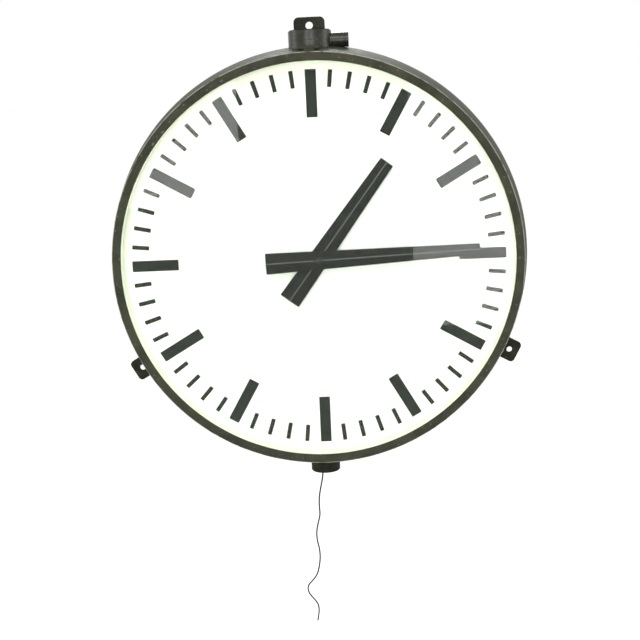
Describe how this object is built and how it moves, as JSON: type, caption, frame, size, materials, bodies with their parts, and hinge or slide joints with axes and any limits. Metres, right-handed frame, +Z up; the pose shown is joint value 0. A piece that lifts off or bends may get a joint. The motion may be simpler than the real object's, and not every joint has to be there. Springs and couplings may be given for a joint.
{
  "type": "double sided station clock",
  "caption": "Double sided round hanging clock: black case, opal dials with bar marks, tapered hands, hinged glazed doors, hanging lug, cable gland, guy lugs and a short cord.",
  "frame": {"origin": "centre of the hole in the hanging lug, halfway through the lug", "axes": "+Z up, the front dial looks along -Y, +X to its viewer's right (the cable gland's side)"},
  "size_m": [0.65, 0.1552, 0.9706],
  "materials": {
    "case_paint": "worn black paint, semi-gloss",
    "steel": "zinc plated",
    "brass": "rolled, unpolished",
    "winding": "varnished copper wire",
    "opal": "opal acrylic, satin",
    "dial_marks": "matt printed film",
    "white_enamel": "white enamel",
    "cover_glass": "polished float glass",
    "rubber": "moulded",
    "cord_pvc": "extruded flex, satin",
    "hand_paint": "matt black paint on folded sheet",
    "lamp_glass": "phosphor coated",
    "ballast_paint": "grey paint",
    "terminal_plastic": "moulded"
  },
  "bodies": {
    "case": {"case_ring": "case_paint", "boss_base": "case_paint", "boss_head": "case_paint", "boss_disc": "case_paint", "hanging_lug": "case_paint", "gland_body": "case_paint", "gland_seal": "rubber", "gland_nut": "case_paint", "right_guy_lug": "case_paint", "left_guy_lug": "case_paint", "bottom_cap": "case_paint", "cord_grommet": "rubber", "supply_cord": "cord_pvc", "inner_lead": "cord_pvc", "movement_bar": "steel", "bar_screws": "steel", "ballast": "ballast_paint", "terminal_block": "terminal_plastic", "ring_lamps": "lamp_glass", "lamp_clips": "steel", "stators": "steel", "coils": "winding", "dial_screws": "steel", "hinge_leaves": "case_paint", "hinge_pins": "steel", "front_dial": "opal", "front_dial_marks": "dial_marks", "front_back_plate": "brass", "front_front_plate": "brass", "rear_dial": "opal", "rear_dial_marks": "dial_marks", "rear_back_plate": "brass", "rear_front_plate": "brass"},
    "front_door": {"front_bezel": "case_paint", "front_cover_glass": "cover_glass", "front_glass_gasket": "rubber", "front_reveal_ring": "white_enamel"},
    "front_latch": {"front_latch_screw": "steel"},
    "front_minute": {"front_minute_arbor": "brass", "front_minute_hand": "hand_paint", "front_hub_nut": "hand_paint"},
    "front_hour": {"front_hour_wheel": "brass", "front_hour_hand": "hand_paint"},
    "front_motion": {"front_motion_wheel": "brass"},
    "front_drive": {"front_drive_wheel": "brass"},
    "front_rotor": {"front_rotor": "steel"},
    "rear_door": {"rear_bezel": "case_paint", "rear_cover_glass": "cover_glass", "rear_glass_gasket": "rubber", "rear_reveal_ring": "white_enamel"},
    "rear_latch": {"rear_latch_screw": "steel"},
    "rear_minute": {"rear_minute_arbor": "brass", "rear_minute_hand": "hand_paint", "rear_hub_nut": "hand_paint"},
    "rear_hour": {"rear_hour_wheel": "brass", "rear_hour_hand": "hand_paint"},
    "rear_motion": {"rear_motion_wheel": "brass"},
    "rear_drive": {"rear_drive_wheel": "brass"},
    "rear_rotor": {"rear_rotor": "steel"}
  },
  "joints": [
    {"name": "front_door_hinge", "type": "hinge", "parent": "case", "child": "front_door", "pos_m": [0, -0.058, -0.03518], "axis": [-1, 0, 0], "range_deg": [0, 95]},
    {"name": "front_latch_turn", "type": "hinge", "parent": "front_door", "child": "front_latch", "pos_m": [0, -0.05, -0.672], "axis": [0, 0, -1], "continuous": true},
    {"name": "front_minute_turn", "type": "hinge", "parent": "case", "child": "front_minute", "pos_m": [0, -0.054, -0.355], "axis": [0, 1, 0], "continuous": true},
    {"name": "front_hour_turn", "type": "hinge", "parent": "case", "child": "front_hour", "pos_m": [0, -0.047, -0.355], "axis": [0, 1, 0], "continuous": true},
    {"name": "front_motion_turn", "type": "hinge", "parent": "case", "child": "front_motion", "pos_m": [-0.01414, -0.03, -0.34086], "axis": [0, 1, 0], "continuous": true},
    {"name": "front_drive_turn", "type": "hinge", "parent": "case", "child": "front_drive", "pos_m": [0, -0.015, -0.3838], "axis": [0, 1, 0], "continuous": true},
    {"name": "front_rotor_turn", "type": "hinge", "parent": "case", "child": "front_rotor", "pos_m": [0.02068, -0.013, -0.38745], "axis": [0, 1, 0], "continuous": true},
    {"name": "rear_door_hinge", "type": "hinge", "parent": "case", "child": "rear_door", "pos_m": [0, 0.058, -0.03518], "axis": [1, 0, 0], "range_deg": [0, 95]},
    {"name": "rear_latch_turn", "type": "hinge", "parent": "rear_door", "child": "rear_latch", "pos_m": [0, 0.05, -0.672], "axis": [0, 0, -1], "continuous": true},
    {"name": "rear_minute_turn", "type": "hinge", "parent": "case", "child": "rear_minute", "pos_m": [0, 0.054, -0.355], "axis": [0, -1, 0], "continuous": true},
    {"name": "rear_hour_turn", "type": "hinge", "parent": "case", "child": "rear_hour", "pos_m": [0, 0.047, -0.355], "axis": [0, -1, 0], "continuous": true},
    {"name": "rear_motion_turn", "type": "hinge", "parent": "case", "child": "rear_motion", "pos_m": [0.01414, 0.03, -0.34086], "axis": [0, -1, 0], "continuous": true},
    {"name": "rear_drive_turn", "type": "hinge", "parent": "case", "child": "rear_drive", "pos_m": [0, 0.015, -0.3838], "axis": [0, -1, 0], "continuous": true},
    {"name": "rear_rotor_turn", "type": "hinge", "parent": "case", "child": "rear_rotor", "pos_m": [-0.02068, 0.013, -0.38745], "axis": [0, -1, 0], "continuous": true}
  ],
  "couplings": [
    {"joint": "front_hour_turn", "follows": "front_minute_turn", "ratio": 0.083333},
    {"joint": "front_motion_turn", "follows": "front_minute_turn", "ratio": -0.33333},
    {"joint": "front_drive_turn", "follows": "front_minute_turn", "ratio": -5},
    {"joint": "front_rotor_turn", "follows": "front_minute_turn", "ratio": 30},
    {"joint": "rear_hour_turn", "follows": "rear_minute_turn", "ratio": 0.083333},
    {"joint": "rear_motion_turn", "follows": "rear_minute_turn", "ratio": -0.33333},
    {"joint": "rear_drive_turn", "follows": "rear_minute_turn", "ratio": -5},
    {"joint": "rear_rotor_turn", "follows": "rear_minute_turn", "ratio": 30}
  ]
}
